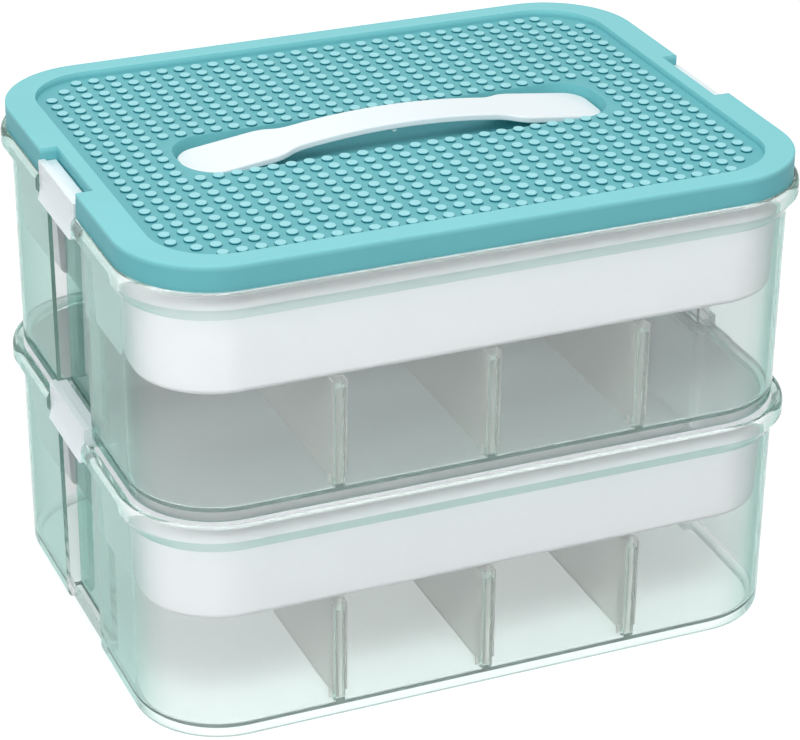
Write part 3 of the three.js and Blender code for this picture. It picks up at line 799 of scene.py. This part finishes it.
def even_normals(piece):
    """Shades every flat face flat, and keeps the edges between sharply turned faces crisp."""
    bm = bmesh.new()
    bm.from_mesh(piece.data)
    for face in bm.faces:
        face.smooth = True
    for edge in bm.edges:
        edge.smooth = edge.calc_face_angle(0) < SHARP_FROM
    bm.to_mesh(piece.data)
    bm.free()
    normals = piece.modifiers.new("flat faces", "WEIGHTED_NORMAL")
    normals.keep_sharp = True
    settle(piece)


def strap_height(x):
    """Top of the strap at a distance from its middle: an arch, then a straight slope down."""
    along = abs(x) / GRIP_HALF_LENGTH
    if along <= 1:
        return CROWN - GRIP_ARCH * along ** 2
    past_grip = (abs(x) - GRIP_HALF_LENGTH) / (HANDLE_LENGTH / 2 - GRIP_HALF_LENGTH)
    return CROWN - GRIP_ARCH - PADDLE_DROP * past_grip


tip, step_out = HANDLE_LENGTH / 2, GRIP_HALF_LENGTH + PADDLE_STEP
quarter_plan = [
    (GRIP_HALF_LENGTH, GRIP_WIDTH / 2), (step_out, PADDLE_WIDTH / 2), (tip, PADDLE_WIDTH / 2),
]
plan = (
    quarter_plan + [(x, -y) for x, y in reversed(quarter_plan)]
    + [(-x, -y) for x, y in quarter_plan] + [(-x, y) for x, y in reversed(quarter_plan)]
)
strap = bmesh.new()
strap.faces.new([strap.verts.new((x * MM, y * MM, 0)) for x, y in plan])
for reach, cut_back, segments in (
    (tip, END_ROUNDING, END_SEGMENTS),
    (step_out, STEP_ROUNDING, STEP_SEGMENTS),
    (GRIP_HALF_LENGTH, STEP_ROUNDING, STEP_SEGMENTS),
):
    chosen = [vert for vert in strap.verts if abs(abs(vert.co.x) - reach * MM) < WELD * MM]
    bmesh.ops.bevel(
        strap, geom=chosen, offset=cut_back * MM, segments=segments, profile=0.5,
        affect="VERTICES", material=-1,
    )
under = bmesh.ops.extrude_face_region(strap, geom=strap.faces[:], use_keep_orig=True)["geom"]
under_verts = of_kind(under, bmesh.types.BMVert)
bmesh.ops.translate(strap, verts=under_verts, vec=(0, 0, -HANDLE_THICKNESS * MM))
for station in range(-STATIONS + 1, STATIONS):
    bmesh.ops.bisect_plane(
        strap, geom=strap.verts[:] + strap.edges[:] + strap.faces[:],
        plane_co=(station / STATIONS * tip * MM, 0, 0), plane_no=(1, 0, 0),
        dist=STATION_WELD * MM,
    )
for vert in strap.verts:
    vert.co.z += strap_height(vert.co.x / MM) * MM
bmesh.ops.recalc_face_normals(strap, faces=strap.faces[:])
handle = piece_of(strap, "handle")
round_edges(handle, HANDLE_EDGE_ROUNDING, HANDLE_EDGE_SEGMENTS)
nub_height = CROWN - HANDLE_THICKNESS - NUB_DROP + NUB_RADIUS
nub = rod_across(NUB_RADIUS, (NUB_X, nub_height), GRIP_WIDTH / 2 - NUB_RADIUS)
combine(handle, nub, "UNION")
leg_half, barb_foot = LEG_THICKNESS / 2, BARB_TOP - BARB_HEIGHT
for side in (-1, 1):
    x = side * LEG_PLACE
    leg_top = strap_height(x) - HANDLE_THICKNESS / 2
    leg = section_across([
        (x - leg_half, leg_top), (x - leg_half, BARB_TOP),
        (x - leg_half - BARB_REACH, BARB_TOP), (x - leg_half, barb_foot),
        (x + leg_half, barb_foot), (x + leg_half + BARB_REACH, BARB_TOP),
        (x + leg_half, BARB_TOP), (x + leg_half, leg_top),
    ], LEG_WIDTH / 2)
    combine(handle, leg, "UNION")
even_normals(handle)
carry_strap = placed_copy(handle, "carry_strap", lid_place)
dress(carry_strap, abs_plastic, "carry_handle")
bpy.data.objects.remove(handle)

# Studio. A pale floor that keeps a soft shadow, a white surround, one large soft lamp from
# above and in front, and weaker ones from behind, from the left and low in front. Light may
# turn often enough to find its way through both clear boxes.
FLOOR_HALF = 6
FLOOR_LIFT = 0.62
SURROUND_AS_LIGHT = 0.4  # its strength where it lights matt surfaces, and 1 where it is seen
CASE_MIDDLE = Vector((0, 0, 0.11))
CLEAR_BOUNCES = 24


def studio_floor():
    """Matt white paper, lifted towards white for the eye and for what mirrors it or lets it
    be seen, but not as light that falls on the case."""
    material, tree = new_material("white paper")
    paper = add_node(tree, "ShaderNodeBsdfDiffuse", Color=linear("#C4C6C8"))
    path = add_node(tree, "ShaderNodeLightPath")
    seen = add_node(
        tree, "ShaderNodeMath", {"operation": "ADD", "use_clamp": True},
        i0=path.outputs["Is Camera Ray"], i1=path.outputs["Is Glossy Ray"],
    )
    seen = add_node(
        tree, "ShaderNodeMath", {"operation": "ADD", "use_clamp": True},
        i0=seen.outputs[0], i1=path.outputs["Is Transmission Ray"],
    )
    seen = add_node(
        tree, "ShaderNodeMath", {"operation": "SUBTRACT", "use_clamp": True},
        i0=seen.outputs[0], i1=path.outputs["Diffuse Depth"],
    )
    lift = add_node(
        tree, "ShaderNodeMath", {"operation": "MULTIPLY"}, i0=seen.outputs[0], i1=FLOOR_LIFT,
    )
    glow = add_node(tree, "ShaderNodeEmission", Strength=lift.outputs[0])
    both = add_node(
        tree, "ShaderNodeAddShader", i0=paper.outputs["BSDF"], i1=glow.outputs["Emission"],
    )
    add_node(tree, "ShaderNodeOutputMaterial", Surface=both.outputs["Shader"])
    return material


def lamp(name, place, size, power):
    """A round soft lamp that shines on the middle of the case."""
    data = bpy.data.lights.new(name, "AREA")
    data.shape = "DISK"
    data.size = size
    data.energy = power
    light = bpy.data.objects.new(name, data)
    light.location = place
    light.rotation_mode = "QUATERNION"
    light.rotation_quaternion = (Vector(place) - CASE_MIDDLE).to_track_quat("Z", "Y")
    bpy.context.collection.objects.link(light)


ground = bmesh.new()
bmesh.ops.create_grid(ground, x_segments=1, y_segments=1, size=FLOOR_HALF)
floor = piece_of(ground, "floor")
floor.data.materials.append(studio_floor())

lamp("soft_key", place=(-0.4, -1.4, 2.1), size=0.9, power=28)
lamp("soft_back", place=(0.3, 1.6, 2.0), size=1.4, power=12)
lamp("soft_left", place=(-2.4, -0.4, 0.9), size=1.4, power=12)
lamp("soft_front", place=(-0.3, -2.5, 0.6), size=1.2, power=3)

world = bpy.data.worlds.new("white surround")
bpy.context.scene.world = world
world.use_nodes = True
tree = world.node_tree
tree.nodes.clear()
path = add_node(tree, "ShaderNodeLightPath")
strength = add_node(
    tree, "ShaderNodeMapRange", Value=path.outputs["Diffuse Depth"], To_Min=1.0,
    To_Max=SURROUND_AS_LIGHT,
)
surround = add_node(
    tree, "ShaderNodeBackground", Color=linear("#FFFFFF"), Strength=strength.outputs["Result"],
)
add_node(tree, "ShaderNodeOutputWorld", Surface=surround.outputs["Background"])

scene = bpy.context.scene
scene.view_settings.view_transform = "Standard"
scene.cycles.max_bounces = CLEAR_BOUNCES
scene.cycles.transmission_bounces = CLEAR_BOUNCES
scene.cycles.glossy_bounces = CLEAR_BOUNCES
